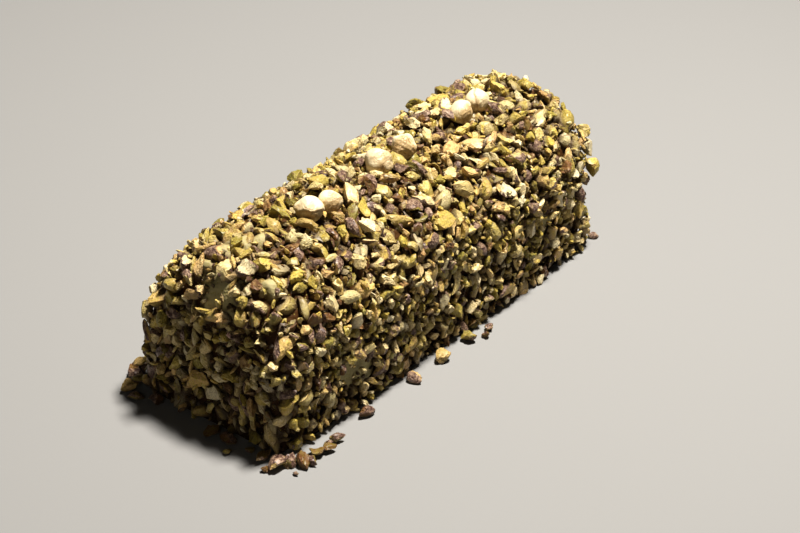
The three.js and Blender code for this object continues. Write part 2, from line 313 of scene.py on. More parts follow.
def length_setting(name, description, millimetres):
    size = {"default": millimetres * MM, "min": 0.0, "unit": "LENGTH", "subtype": "DISTANCE"}
    return bpy.props.FloatProperty(name=name, description=description, **size)


def colour_setting(name, description, code):
    colour = {"default": linear(code), "size": 4, "min": 0.0, "max": 1.0, "subtype": "COLOR"}
    return bpy.props.FloatVectorProperty(name=name, description=description, **colour)


def power_setting(name, description, watts):
    return bpy.props.FloatProperty(name=name, description=description, default=watts, min=0.0, unit="POWER")


def count_setting(name, description, count):
    return bpy.props.IntProperty(name=name, description=description, default=count, min=0)


class CakeSizes(bpy.types.PropertyGroup):
    """Sizes of the ice cream and numbers of its nuts."""

    length: length_setting("Length", "Ice cream from end to end, without nuts", LENGTH)
    width: length_setting("Width", "Ice cream from side to side, without nuts", WIDTH)
    height: length_setting("Height", "Ice cream from base to crown, without nuts", HEIGHT)
    kernels: count_setting("Whole kernels", "Whole and half kernels besides the solid log's own", 220)
    pieces: count_setting("Chopped pieces", "Middle-sized pieces in both layers", 3600)
    slivers: count_setting("Slivers", "Thin splinters between the pieces", 1300)
    grains: count_setting("Grains", "The finest chopped nut", 2400)


class CakeColours(bpy.types.PropertyGroup):
    """Colours of the nuts and the ice cream."""

    flesh_pale: colour_setting("Pale flesh", "Freshly broken pistachio", "E6D8AF")
    flesh_yellow: colour_setting("Yellow flesh", "The inside of most kernels", "E6CF96")
    flesh_green: colour_setting("Green flesh", "The green of a pistachio under its skin", "C5AE4E")
    flesh_olive: colour_setting("Olive flesh", "The darkest green pieces", "8A7F34")
    flesh_gold: colour_setting("Golden flesh", "Pistachio browned by roasting", "DAB678")
    # Also painted into the pits of the flesh's grain as painted shade.
    flesh_brown: colour_setting("Brown flesh", "The edges that roasting has browned most", "6B451B")
    skin_purple: colour_setting("Purple skin", "Dried skin of a pistachio", "523329")
    skin_grey: colour_setting("Grey skin", "Where the skin has rubbed pale", "A98D74")
    cream: colour_setting("Clinging ice cream", "Thin ice cream round the foot of a nut", "CBBC8F")
    cream_pale: colour_setting("Ice cream", "Pistachio ice cream where the knife has spread it", "C0B58A")
    cream_deep: colour_setting("Deep ice cream", "The denser streaks in the ice cream", "857950")
    fleck: colour_setting("Fleck", "Ground pistachio in the ice cream", "8F8746")
    # Painted shade: a dark brown that stands in for the shade deep between the nuts, on the nuts' lowest parts
    # and on the ice cream under the coat.
    gap_shade: colour_setting("Painted gap shade", "Ice cream between the nuts, full of fine nut", "462D12")
    hazelnut: colour_setting("Hazelnut", "Blanched hazelnut", "DCCBA6")
    hazelnut_tan: colour_setting("Hazelnut tan", "Where a hazelnut has browned", "A3875A")
    hazelnut_crease: colour_setting("Hazelnut crease", "Down in a hazelnut's creases and seam", "7A5226")


class StageSettings(bpy.types.PropertyGroup):
    """Floor, light and lens."""

    floor: colour_setting("Floor", "Pale matt floor", "82817F")
    key_power: power_setting("Main light", "Small softbox high above the log", 52.5)
    fill_power: power_setting("Front light", "Large soft light on the viewer's side", 2.2)
    room: bpy.props.FloatProperty(
        name="Room light", description="Even light from all round", default=0.01, min=0.0
    )
    lens: bpy.props.FloatProperty(
        name="Lens", description="Focal length on a 36 mm wide frame", default=114.1, min=1.0, unit="CAMERA"
    )


def sizes():
    return bpy.context.scene.log_cake_sizes


def colours():
    return bpy.context.scene.log_cake_colours


# ---------------------------------------------------------------- the form of the log

def unit(ways):
    return ways / np.linalg.norm(ways, axis=-1, keepdims=True)


def is_inside(p):
    """Whether each point lies in the ice cream."""
    length, width, height = (s / MM for s in (sizes().length, sizes().width, sizes().height))
    along = np.abs(p[:, 0]) / (length / 2)
    room = np.clip(1 - np.minimum(along, 1) ** PLAN_POWER, 1e-12, 1) ** (1 / PLAN_POWER)
    power = np.where(p[:, 0] < 0, NEAR_END_POWER, FAR_END_POWER)
    lowering = np.clip(1 - np.minimum(along, 1) ** power, 1e-12, 1) ** (1 / power)
    across = np.abs(p[:, 1]) / (width / 2 * room)
    rise = p[:, 2] / lowering
    crown = across**CROWN_POWER + np.clip((rise - WALL) / (height - WALL), 0, None) ** CROWN_POWER
    return (along < 1) & (p[:, 2] >= 0) & np.where(rise < WALL, across < 1, crown < 1)


# In the waves below, each divisor of a place is a wave's length in mm divided by 2 pi.

def swell_at(p):
    """How far the surface stands proud of the even shape, in long shallow waves."""
    x, y, z = p.T
    broad = np.sin(x / 33 + y / 41 + 0.7) * np.cos(z / 29 - x / 60)
    short = np.sin(x / 16 - z / 19 + y / 23 + 2)
    return SWELL * (broad + 0.45 * short)


def surface_through(p):
    """The surface points straight outwards through p, from the nearest points of the log's inner axis."""
    length, width = sizes().length / MM, sizes().width / MM
    reach = length / 2 - width / 2
    anchor = np.stack([np.clip(p[:, 0], -reach, reach), 0 * p[:, 1], 0 * p[:, 2] + AXIS_HEIGHT], axis=1)
    way = unit(p - anchor)
    near = np.zeros((len(p), 1))
    far = np.full((len(p), 1), length)
    for _ in range(HALVINGS):
        middle = (near + far) / 2
        inside = is_inside(anchor + way * middle)[:, None]
        near = np.where(inside, middle, near)
        far = np.where(inside, far, middle)
    even = anchor + way * near
    return even + way * swell_at(even)[:, None] * (even[:, 2:3] > BASE_SKIN)


def eased(share):
    """Turns a rise from 0 to 1 into one that starts and ends gently."""
    share = np.clip(share, 0, 1)
    return share * share * (3 - 2 * share)


def cover_at(p, uneven=True):
    """1 where the coat is full, falling to 0 in a bare patch, which in the solid log is round and a little
    smaller, because its nuts don't lean over their edge."""
    cover = np.ones(len(p))
    ragged = 1 + 0.28 * np.sin(p[:, 0] / 2.3 + p[:, 2] / 3.1) * np.sin(p[:, 1] / 2.7 - p[:, 2] / 4.1 + 1)
    for x, y, z, radius in BARE_PATCHES + (FINE_PATCHES if uneven else []):
        away = np.linalg.norm(p - (x, y, z), axis=1) / radius * (ragged / PATCH_GROWTH if uneven else 1)
        cover = np.minimum(cover, eased((away - PATCH_BARE) / PATCH_FADE))
    return cover


def smear_at(p):
    """1 in the middle of a smear, falling to 0 at its ragged edge."""
    smear = np.zeros(len(p))
    ragged = 1 + 0.3 * np.sin(p[:, 0] / 1.9 + p[:, 1] / 2.6) * np.sin(p[:, 1] / 2.1 - p[:, 0] / 3.3)
    for x, y, z, radius in SMEARS:
        away = np.linalg.norm(p - (x, y, z), axis=1) / radius * ragged
        smear = np.maximum(smear, eased(SMEAR_REACH - away))
    return smear


def box_skin(counts):
    """Points and four-cornered faces of a unit box's skin, split counts times along each side."""
    numbers, faces = {}, []

    def corner(place):
        return numbers.setdefault(tuple(place), len(numbers))

    for axis in range(3):
        first, second = (axis + 1) % 3, (axis + 2) % 3
        for level in (0, counts[axis]):
            for i in range(counts[first]):
                for j in range(counts[second]):
                    ring = []
                    for a, b in ((0, 0), (1, 0), (1, 1), (0, 1)):
                        place = [0, 0, 0]
                        place[axis], place[first], place[second] = level, i + a, j + b
                        ring.append(corner(place))
                    faces.append(ring if level else ring[::-1])
    points = np.array(list(numbers), float) / counts - 0.5
    return points, np.array(faces)


def normals_of(points, faces):
    """Outward direction at each point, as the mean of the faces round it."""
    a, b, c, d = (points[faces[:, k]] for k in range(4))
    crosses = np.cross(c - a, d - b)
    total = np.zeros_like(points)
    for k in range(4):
        np.add.at(total, faces[:, k], crosses)
    return total / np.maximum(np.linalg.norm(total, axis=1, keepdims=True), 1e-9)


@functools.cache
def ice_cream_form():
    """The surface of the ice cream: points, four-cornered faces, the outward direction at each point, and
    which faces are its sole."""
    box = np.array([sizes().length, sizes().width, sizes().height]) / MM
    points, faces = box_skin(np.round(box / SKIN_STEP).astype(int))
    points = surface_through(points * box + (0, 0, box[2] / 2))
    sole = (points[faces][:, :, 2] < BASE_SKIN).all(axis=1)
    normals = normals_of(points, faces[~sole])
    points = points - normals * (SUNK * cover_at(points) * (points[:, 2] > BASE_SKIN))[:, None]
    return points, faces, normals, sole


def outward_at(sites):
    """The outward direction at places on the ice cream."""
    points, _, normals, _ = ice_cream_form()
    return normals[[int(np.argmin(((points - site) ** 2).sum(axis=1))) for site in sites]]


# ---------------------------------------------------------------- seeded draws that follow the solid log

def draws_from(seed):
    """Seeded draws between two values, which give what the solid log's draws give."""
    state = seed

    def draw(low=0.0, high=1.0):
        nonlocal state
        state = state * MULTIPLIER % MODULUS
        return low + (high - low) * (state / MODULUS)

    return draw


def kernel_places():
    """The solid log's own largest pieces: site, spin, tilts, half sizes and lift of each."""
    areas = [2 * LENGTH * HEIGHT, LENGTH * WIDTH, 2 * WIDTH * HEIGHT]
    draw = draws_from(KERNEL_SEED)
    places = []
    while len(places) < KERNELS:
        pick = draw(0, sum(areas))
        a, b = draw(-0.5, 0.5), draw(-0.5, 0.5)
        sign = -1 if draw() < 0.5 else 1
        if pick < areas[0]:
            p = (a * LENGTH, sign * WIDTH / 2, (b + 0.5) * HEIGHT)
        elif pick < areas[0] + areas[1]:
            p = (a * LENGTH, b * WIDTH, HEIGHT)
        else:
            p = (sign * LENGTH / 2, a * WIDTH, (b + 0.5) * HEIGHT)
        site = surface_through(np.array([p]))[0]
        spin = draw(0, 2 * math.pi)
        tilts = draw(-KERNEL_TILT, KERNEL_TILT), draw(-KERNEL_TILT, KERNEL_TILT)
        half = draw(*KERNEL_HALF_LENGTH), draw(*KERNEL_HALF_WIDTH), draw(*KERNEL_HALF_DEPTH)
        lift = draw(*KERNEL_LIFT)
        crowded = any(np.linalg.norm(other[0] - site) < KERNEL_SPACING for other in places)
        under = site[2] > WALL and any(
            math.hypot(x - site[0], y - site[1]) < diameter / 2 + half[0]
            for x, y, diameter, _, _ in HAZELNUT_PLACES
        )
        if crowded or under or site[2] < KERNEL_FLOOR or cover_at(site[None], uneven=False)[0] < 1:
            continue
        places.append((site, spin, tilts, half, lift))
    return places


# ---------------------------------------------------------------- the forms of chopped nuts

@functools.cache
def ball_of(steps):
    """A ball made of an octahedron whose faces are split steps times.

    Gives the directions of its points, its triangles, and where each triangle's corners lie when it is
    unfolded into a unit square.
    """
    numbers, places, triangles, unfolded = {}, [], [], []

    def corner(x, y, z):
        if (x, y, z) not in numbers:
            numbers[x, y, z] = len(numbers)
            bent = [math.copysign(math.sin(math.pi / 2 * abs(c) / steps), c) for c in (x, y, z)]
            places.append(np.array(bent) / np.linalg.norm(bent))
        return numbers[x, y, z]

    def flat(x, y, z, sx, sy):
        if z < 0:
            x, y = sx * (steps - abs(y)), sy * (steps - abs(x))
        return (x / steps + 1) / 2, (y / steps + 1) / 2

    for sx in (1, -1):
        for sy in (1, -1):
            for sz in (1, -1):
                for i in range(steps):
                    for j in range(steps - i):
                        rings = [((i, j), (i + 1, j), (i, j + 1))]
                        if i + j < steps - 1:
                            rings.append(((i + 1, j), (i + 1, j + 1), (i, j + 1)))
                        for ring in rings:
                            ring = ring if sx * sy * sz > 0 else ring[::-1]
                            whole = [(sx * a, sy * b, sz * (steps - a - b)) for a, b in ring]
                            triangles.append([corner(*p) for p in whole])
                            unfolded.append([flat(*p, sx, sy) for p in whole])
    return np.array(places), np.array(triangles), np.array(unfolded)


def random_ways(rng, *shape):
    return unit(rng.normal(size=(*shape, 3)))


def onto_edges(points, normals, gaps, centre, spacing):
    """Moves points that lie near an edge between two breaks onto it, and those near a corner onto that.

    Breaks are given by their outward normals and distances, and the rounded outside is a unit ball about
    centre. Gives the points, and which of them are now where the outside meets a break.
    """
    def depths_under(place):
        out = place - centre[:, None, :]
        away = np.linalg.norm(out, axis=2, keepdims=True)
        breaks = np.broadcast_to(normals[:, None], (*place.shape[:2], *normals.shape[1:]))
        ways = np.concatenate([out[:, :, None, :] / away[:, :, :, None], breaks], axis=2)
        depth = gaps[:, None, :] - np.einsum("nvk,npk->nvp", place, normals)
        return ways, np.concatenate([1 - away, depth], axis=2)

    def chosen(values, index):
        index = index[:, :, None] if values.ndim == 3 else index[:, :, None, None]
        return np.take_along_axis(values, index, axis=2)

    reach = spacing * np.linalg.norm(points, axis=2)
    ways, depth = depths_under(points)
    first = depth.argmin(axis=2)
    way = chosen(ways, first)[:, :, 0]
    facing = np.einsum("nvk,nvpk->nvp", way, ways)
    slope = np.sqrt(np.maximum(1 - facing**2, 1e-3))
    away = np.where(slope < BLUNTEST_EDGE, np.inf, np.maximum(depth, 0) / slope)
    np.put_along_axis(away, first[:, :, None], np.inf, axis=2)
    second = away.argmin(axis=2)
    near = chosen(away, second)[:, :, 0]
    other = chosen(ways, second)[:, :, 0]
    cosine, sine = chosen(facing, second)[:, :, 0], chosen(slope, second)[:, :, 0]
    toward = (other - cosine[:, :, None] * way) / sine[:, :, None]
    on_edge = near < EDGE_REACH * reach
    points = points + toward * (EDGE_SNAP * np.where(on_edge, near, 0))[:, :, None]

    ways, depth = depths_under(points)
    line = np.cross(way, other)
    line /= np.maximum(np.linalg.norm(line, axis=2, keepdims=True), 1e-6)
    rate = np.einsum("nvk,nvpk->nvp", line, ways)
    level = np.abs(rate) < BLUNTEST_CORNER
    run = np.where(level, np.inf, depth / np.where(level, 1, rate))
    for taken in (first, second):
        np.put_along_axis(run, taken[:, :, None], np.inf, axis=2)
    third = np.abs(run).argmin(axis=2)
    length = chosen(run, third)[:, :, 0]
    corner = on_edge & (np.abs(length) < CORNER_REACH * reach)
    points = points + line * (CORNER_SNAP * np.where(corner, length, 0))[:, :, None]
    return points, on_edge & ((first == 0) | (second == 0))


def broken_nuts(rng, half, steps, whole=0.0, halved=0.6, cross_cuts=0.8, chips=5, bites=3, torn=0.05):
    """Broken pieces of pistachio, each a rounded kernel with flat breaks, scaled to its half sizes in mm.

    whole is the share left unsplit, halved the share whose split face looks down, cross_cuts the share
    broken across at each end, chips how many corners are chipped off, bites how many hollows are torn out,
    and torn how rough their breaks are. Gives the points, which of them lie where the outside is broken off,
    and which triangles are the outside.
    """
    count = len(half)
    ways, triangles, _ = ball_of(steps)
    split = rng.random(count) >= whole
    centre = np.zeros((count, 3))
    centre[:, 2] = np.where(split, SPLIT_CENTRE, 0)
    for axis, drift in enumerate(CENTRE_DRIFT):
        centre[:, axis] = rng.uniform(-drift, drift, count)
    normals = [np.tile([0.0, 0.0, -1.0], (count, 1))]
    gaps = [np.where(split, rng.uniform(*SPLIT_GAPS, count), NO_BREAK)]
    for side in (-1, 1):
        normals.append(unit(np.array([side, 0, 0]) + rng.normal(scale=END_SLANT, size=(count, 3))))
        gaps.append(np.where(rng.random(count) < cross_cuts, rng.uniform(*END_GAPS, count), NO_BREAK))
    for _ in range(chips):
        normals.append(random_ways(rng, count))
        gaps.append(rng.uniform(*CHIP_GAPS, count))
    normals, gaps = np.stack(normals, axis=1), np.stack(gaps, axis=1)
    facing = np.einsum("npk,vk->nvp", normals, ways)
    toward = centre @ ways.T
    ball = toward + np.sqrt(np.maximum(toward**2 + 1 - (centre**2).sum(axis=1)[:, None], 0.01))
    radius = np.minimum(ball, (gaps[:, None, :] / np.maximum(facing, FLATTEST)).min(axis=2))
    points, rim = onto_edges(radius[:, :, None] * ways, normals, gaps, centre, math.pi / 2 / steps)

    middles = points[:, triangles].mean(axis=2)
    ball_depth = 1 - np.linalg.norm(middles - centre[:, None, :], axis=2)
    break_depth = (gaps[:, None, :] - np.einsum("nfk,npk->nfp", middles, normals)).min(axis=2)
    outside = ball_depth < break_depth

    waves = rng.normal(scale=WAVES_ROUND, size=(count, 3, 3))
    phases = rng.uniform(0, 2 * math.pi, (count, 1, 3))
    scale = 1 + WAVE_DEPTH * np.sin(np.einsum("nwk,vk->nvw", waves, ways) + phases).mean(axis=2)
    for _ in range(bites):
        spread = rng.uniform(*BITE_WIDTHS, (count, 1))
        hollow = np.exp(-(((1 - random_ways(rng, count) @ ways.T) / spread) ** 2))
        scale *= 1 - rng.uniform(0, BITE_DEPTH, (count, 1)) * hollow
    scale *= 1 + rng.normal(scale=torn, size=scale.shape)
    points = points * scale[:, :, None]
    x, y, z = points[:, :, 0], points[:, :, 1], points[:, :, 2]
    bend, slant = rng.normal(scale=CURL, size=(2, count, 1))
    twist = rng.normal(scale=2 * CURL, size=(count, 1)) * x
    y, z = y * np.cos(twist) - z * np.sin(twist), y * np.sin(twist) + z * np.cos(twist)
    points = np.stack([x, y + slant * x, z + bend * x * x], axis=2)
    low, high = points.min(axis=1, keepdims=True), points.max(axis=1, keepdims=True)
    points = (points - (low + high) / 2) / (high - low) * 2 * half[:, None, :]
    turned_over = rng.random(count) >= halved
    points[turned_over] *= (1, -1, -1)
    return points, rim, outside


def turns_about(axis, angles):
    """Rotation matrices about one coordinate axis."""
    turned = np.zeros((len(angles), 3, 3))
    first, second = (axis + 1) % 3, (axis + 2) % 3
    turned[:, axis, axis] = 1
    turned[:, first, first] = turned[:, second, second] = np.cos(angles)
    turned[:, second, first] = np.sin(angles)
    turned[:, first, second] = -np.sin(angles)
    return turned


def lying_at(normals, spin, tilt_a, tilt_b):
    """Rotations that lay pieces on the surface, depth outwards, turned by spin and tilted by two angles."""
    along = np.tile([1.0, 0.0, 0.0], (len(normals), 1))
    along -= (along * normals).sum(axis=1, keepdims=True) * normals
    steep = np.linalg.norm(along, axis=1) < 0.3
    side = np.array([0.0, 1.0, 0.0]) - normals[:, 1:2] * normals
    along = unit(np.where(steep[:, None], side, along))
    basis = np.stack([along, np.cross(normals, along), normals], axis=2)
    return basis @ turns_about(0, tilt_a) @ turns_about(1, tilt_b) @ turns_about(2, spin)


# ---------------------------------------------------------------- where the nuts lie

def surface_sites(rng, count):
    """Places spread evenly at random over all but the sole, with the outward direction at each."""
    points, faces, normals, sole = ice_cream_form()
    faces = faces[~sole]
    corners = points[faces]
    area = np.linalg.norm(np.cross(corners[:, 2] - corners[:, 0], corners[:, 3] - corners[:, 1]), axis=1)
    picked = rng.choice(len(faces), size=count, p=area / area.sum())
    u, v = rng.random((2, count, 1))
    shares = [(1 - u) * (1 - v), u * (1 - v), u * v, (1 - u) * v]
    site = sum(s * points[faces[picked, k]] for k, s in enumerate(shares))
    normal = sum(s * normals[faces[picked, k]] for k, s in enumerate(shares))
    return site, unit(normal)


def clumps_at(p):
    """How far the coat swells or sinks, from about -1 to 1, as handfuls of nuts landed."""
    x, y, z = p.T
    wide = np.sin(x / 5.3 + 1.7 * np.sin(y / 7.9)) * np.sin(y / 4.9 + z / 5.7 + 1.1)
    narrow = np.sin(x / 3.1 - z / 3.7 + 0.4) * np.sin(y / 3.4 + z / 2.9 + 2.3)
    return 0.6 * wide + 0.5 * narrow


def coarse_at(p):
    """How far the nuts are coarser than on the sides, up to 1: on the crown, most of all by the near end, and
    on the near end itself."""
    x, _, z = p.T
    by_near_end = 0.65 + 0.35 * np.exp(-(((x - NEAR_CROWN) / NEAR_CROWN_REACH) ** 2))
    crown = np.clip((z - CROWN_START) / CROWN_RISE, 0, 1) * by_near_end
    return np.maximum(crown, NEAR_END_COARSE * np.clip((NEAR_CROWN - x) / NEAR_END_REACH, 0, 1))


class Crowd:
    """Keeps pieces apart: each new place is taken only if no earlier one is nearer than their radii allow."""

    CELL = 12.0

    def __init__(self):
        self.cells = {}

    def take(self, site, radius, closeness):
        x, y, z = site
        home = [int(c // self.CELL) for c in site]
        for i in (-1, 0, 1):
            for j in (-1, 0, 1):
                for k in (-1, 0, 1):
                    for ox, oy, oz, other in self.cells.get((home[0] + i, home[1] + j, home[2] + k), ()):
                        gap = closeness * (radius + other)
                        if (x - ox) ** 2 + (y - oy) ** 2 + (z - oz) ** 2 < gap * gap:
                            return False
        self.cells.setdefault(tuple(home), []).append((x, y, z, radius))
        return True


def hazelnut_middles():
    """Middle and radius of each hazelnut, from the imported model."""
    found = []
    for name in HAZELNUT_NODES:
        low, high = (np.array(corner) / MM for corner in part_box(name))
        found.append(((low + high) / 2, (high - low).mean() / 2))
    return found


def clear_of_hazelnuts(middle, radius):
    """Whether pieces of that radius stay out of the hazelnuts."""
    clear = np.ones(len(middle), bool)
    for place, size in hazelnut_middles():
        clear &= np.linalg.norm(middle - place, axis=1) > size + HAZELNUT_ROOM * radius
    return clear


def plan_of(steps, half, site, normal, spin, tilts, high=0.0, lift=math.nan):
    """A plan of nuts, with an entry for each: how finely it is made, its half sizes, its site on the ice
    cream and the outward direction there, its spin and two tilts, and either how high its top stands above
    the site or how far its middle is lifted from it. An endless height is for nuts that rest there."""
    count = len(half)
    return {
        "steps": np.full(count, steps),
        "half": np.array(half),
        "site": np.array(site),
        "normal": normal,
        "high": np.full(count, high),
        "lift": np.full(count, lift),
        "spin": np.array(spin),
        "tilt_a": tilts[0],
        "tilt_b": tilts[1],
    }


def settled(rng, crowd, count, layer):
    """A plan of count pieces of a layer, at places drawn at random where the crowd has room."""
    tries = count * TRIES
    site, normal = surface_sites(rng, tries)
    half = np.sort(rng.uniform(layer.least, layer.greatest, (tries, 3)), axis=1)[:, ::-1]
    half *= rng.uniform(*UNEVEN, (tries, 1)) * (1 + COARSE_GROWTH * coarse_at(site))[:, None]
    high = rng.uniform(*layer.top, tries) + CLUMP * clumps_at(site)
    radius = np.sqrt(half[:, 0] * half[:, 1])
    middle = site + normal * (high - 0.7 * half[:, 2])[:, None]
    usable = clear_of_hazelnuts(middle, radius) & (site[:, 2] > LOWEST)
    usable &= cover_at(site) + layer.stray > rng.random(tries)
    kept = []
    for i in np.flatnonzero(usable):
        if len(kept) < count and crowd.take(site[i], radius[i], layer.closeness):
            kept.append(i)
    loose = (rng.random(len(kept)) < layer.tumbled) * TUMBLE
    tilts = rng.normal(scale=1.0, size=(2, len(kept))) * (layer.tilt + loose)
    spin = rng.uniform(0, 2 * math.pi, len(kept))
    return plan_of(layer.steps, half[kept], site[kept], normal[kept], spin, tilts, high=high[kept])


def standing(rng, places, steps, half, top, spin):
    """A plan of pieces that stand at chosen places with their tops that high above the ice cream."""
    sites = surface_through(np.array(places, float))
    tilts = rng.normal(scale=STANDING_TILT, size=(2, len(sites)))
    return plan_of(steps, half, sites, outward_at(sites), spin, tilts, high=top)


def merged(*plans):
    return {key: np.concatenate([plan[key] for plan in plans]) for key in plans[0]}


def picked(plan, chosen):
    return {key: value[chosen] for key, value in plan.items()}


def dropped_plan(rng):
    """A plan of the nuts that have dropped to the foot."""
    x, y, half, rest = np.array(DROPPED, float).T
    count = len(DROPPED)
    half = half[:, None] * rng.uniform(*DROPPED_SHAPES, (count, 3))
    spin = rng.uniform(0, 2 * math.pi, count)
    tilts = [rng.normal(scale=tilt, size=count) for tilt in DROPPED_TILTS]
    site, up = np.stack([x, y, rest], axis=1), np.tile([0.0, 0.0, 1.0], (count, 1))
    return plan_of(DROPPED_STEPS, half, site, up, spin, tilts, high=math.inf)


@functools.cache
def coat_plan():
    """Where every nut of the coat lies, largest first: a dict of plans, one for each kind of piece."""
    rng = np.random.default_rng(COAT_SEED)
    site, spin, tilts, half, lift = zip(*kernel_places())
    kernels = plan_of(KERNEL_LAYER.steps, half, site, outward_at(site), spin, np.transpose(tilts), lift=lift)
    count = len(PROUD_KERNELS)
    spin = rng.uniform(0, 2 * math.pi, count)
    proud = standing(rng, PROUD_KERNELS, KERNEL_LAYER.steps, [PROUD_HALF] * count, PROUD_TOP, spin)
    kernels = merged(kernels, proud)
    *places, kinds, lengths, widths, turns = zip(*PLACED_PIECES)
    halves = [(length, width, PLACED_DEPTH * width) for length, width in zip(lengths, widths)]
    placed = standing(rng, np.transpose(places), PLACED_STEPS, halves, PLACED_TOP, turns)
    under, upper, loose = Crowd(), Crowd(), Crowd()
    for plan, crowds in ((placed, (upper,)), (kernels, (under, upper))):
        for site, half in zip(plan["site"], plan["half"]):
            for crowd in crowds:
                crowd.take(site, math.sqrt(half[0] * half[1]), 0)
    kernels = merged(kernels, settled(rng, upper, sizes().kernels, KERNEL_LAYER))
    low_count = round(BOTTOM_SHARE * sizes().pieces)
    bottom = settled(rng, under, low_count, BOTTOM_LAYER)
    top = settled(rng, upper, sizes().pieces - low_count, TOP_LAYER)
    kind = rng.choice(len(KINDS), size=len(bottom["lift"]) + len(top["lift"]), p=KIND_SHARES)
    kind = np.append(kind, [KINDS.index(name) for name in kinds])
    pieces = merged(bottom, top, placed)
    return {
        "kernels": kernels,
        **{name: picked(pieces, kind == number) for number, name in enumerate(KINDS)},
        "slivers": settled(rng, loose, sizes().slivers, SLIVER_LAYER),
        "grains": settled(rng, loose, sizes().grains, GRAIN_LAYER),
        "dropped": dropped_plan(rng),
    }


# ---------------------------------------------------------------- meshes

def add_piece(mesh):
    """Puts a mesh into the scene as a piece of the object, on its body and with its material slot."""
    piece = bpy.data.objects.new(mesh.name, mesh)
    bpy.context.scene.collection.objects.link(piece)
    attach(piece, BODY)
    return piece


def mesh_of(name, points, faces, material, flat=None, values=None, crease=None):
    """A mesh from points in mm. flat is where each face's corners lie on its map, values are numbers for each
    point or face, and edges that bend by more than crease, in degrees, are kept sharp."""
    mesh = bpy.data.meshes.new(name)
    sides = faces.shape[1]
    mesh.vertices.add(len(points))
    mesh.vertices.foreach_set("co", (points * MM).astype(np.float32).ravel())
    mesh.loops.add(faces.size)
    mesh.loops.foreach_set("vertex_index", faces.astype(np.int32).ravel())
    mesh.polygons.add(len(faces))
    mesh.polygons.foreach_set("loop_start", np.arange(0, faces.size, sides, dtype=np.int32))
    mesh.update(calc_edges=True)
    mesh.validate()
    mesh.shade_smooth()
    if crease:
        mesh.set_sharp_from_angle(angle=math.radians(crease))
    if flat is not None:
        layer = mesh.uv_layers.new(name=BAKE_MAP)
        layer.uv.foreach_set("vector", flat.astype(np.float32).ravel())
    for key, value in (values or {}).items():
        stored = mesh.attributes.new(key, "FLOAT", "FACE" if value.size == len(faces) else "POINT")
        stored.data.foreach_set("value", value.astype(np.float32).ravel())
    mesh.materials.append(material)
    return mesh


def cells_of(number, across, unfolded):
    """Where each numbered nut's triangles lie on one map, in which each nut has a square cell of its own."""
    margin = 0.04  # of a cell
    corner = np.stack([number % across, number // across], axis=1)[:, None, None, :]
    return (corner + margin + (1 - 2 * margin) * unfolded[None]) / across


def nut_group(rng, plan, steps, skin, shape):
    """Points, triangles, unfolded triangles and values of all nuts in a plan whose steps are the same."""
    count = len(plan["lift"])
    _, triangles, unfolded = ball_of(steps)
    points, rim, outside = broken_nuts(rng, plan["half"], steps, **shape)
    turn = lying_at(plan["normal"], plan["spin"], plan["tilt_a"], plan["tilt_b"])
    local = np.einsum("nij,nvj->nvi", turn, points)
    height = np.einsum("nvi,ni->nv", local, plan["normal"])
    resting = np.isinf(plan["high"])
    lift = np.where(np.isnan(plan["lift"]), plan["high"] - height.max(axis=1), plan["lift"])
    lift = np.where(resting, ABOVE_FLOOR - height.min(axis=1), lift)
    height += (lift + DROPPED_SHADE_LIFT * resting)[:, None]
    placed = local + (plan["site"] + plan["normal"] * lift[:, None])[:, None, :]
    placed[:, :, 2] = np.maximum(placed[:, :, 2], ABOVE_FLOOR)
    faces = triangles[None] + placed.shape[1] * np.arange(count)[:, None, None]
    even = np.ones((1, len(triangles)))
    has_skin = (rng.random((count, 1)) < skin[0]) * rng.uniform(*skin[1:], (count, 1))
    hue = rng.random((count, 1))
    frost = rng.normal(0.0, FROST_SPREAD, (count, 1)) + FROST_COARSE * coarse_at(plan["site"])[:, None]
    values = {
        "hue": hue * even,
        "rind": outside,
        "skin": has_skin * outside,
        "frost": np.clip(frost, 0, 1) * even,
        # Nuts near the foot count as lower, so the painted shade darkens them more towards the foot.
        "height": height - FOOT_SHADE * np.clip(1 - plan["site"][:, 2:] / FOOT, 0, 1),
        "rim": rim,
    }
    return placed.reshape(-1, 3), faces.reshape(-1, 3), unfolded, values


def nut_mesh(name, plan, material, seed, skin, **shape):
    """One mesh that holds all nuts of a kind, each at its place in the plan."""
    rng = np.random.default_rng(seed)
    across = math.ceil(math.sqrt(len(plan["steps"])))
    points, faces, flat, values, made = [], [], [], [], 0
    for steps in np.unique(plan["steps"]):
        group = picked(plan, plan["steps"] == steps)
        some_points, some_faces, unfolded, some_values = nut_group(rng, group, int(steps), skin, shape)
        number = made + np.arange(len(group["steps"]))
        faces.append(some_faces + sum(len(some) for some in points))
        points.append(some_points)
        flat.append(cells_of(number, across, unfolded).reshape(-1, 2))
        values.append({key: value.astype(float).ravel() for key, value in some_values.items()})
        made += len(number)
    together = {key: np.concatenate([some[key] for some in values]) for key in values[0]}
    form = np.concatenate(points), np.concatenate(faces)
    return mesh_of(name, *form, material, flat=np.concatenate(flat), values=together, crease=CREASE)


# ---------------------------------------------------------------- materials

def add_node(tree, kind, feeds=None, stops=None, out=None, **settings):
    """Adds a shader node with its settings, what feeds its inputs, and the stops of its ramp if it has one.
    Gives the output called out, or else its first."""
    made = tree.nodes.new("ShaderNode" + kind)
    for name, value in settings.items():
        setattr(made, name, value)
    for socket, source in (feeds or {}).items():
        if isinstance(source, bpy.types.NodeSocket):
            tree.links.new(source, made.inputs[socket])
        else:
            made.inputs[socket].default_value = source
    for i, (place, value) in enumerate(stops or ()):
        stop = made.color_ramp.elements[i] if i < 2 else made.color_ramp.elements.new(place)
        stop.position, stop.color = place, value
    return made.outputs[out] if out else next((socket for socket in made.outputs if socket.enabled), None)


def new_material(name):
    """An empty material, and what adds nodes to it."""
    material = bpy.data.materials.new(name)
    material.use_nodes = True
    material.node_tree.nodes.clear()
    return material, functools.partial(add_node, material.node_tree)


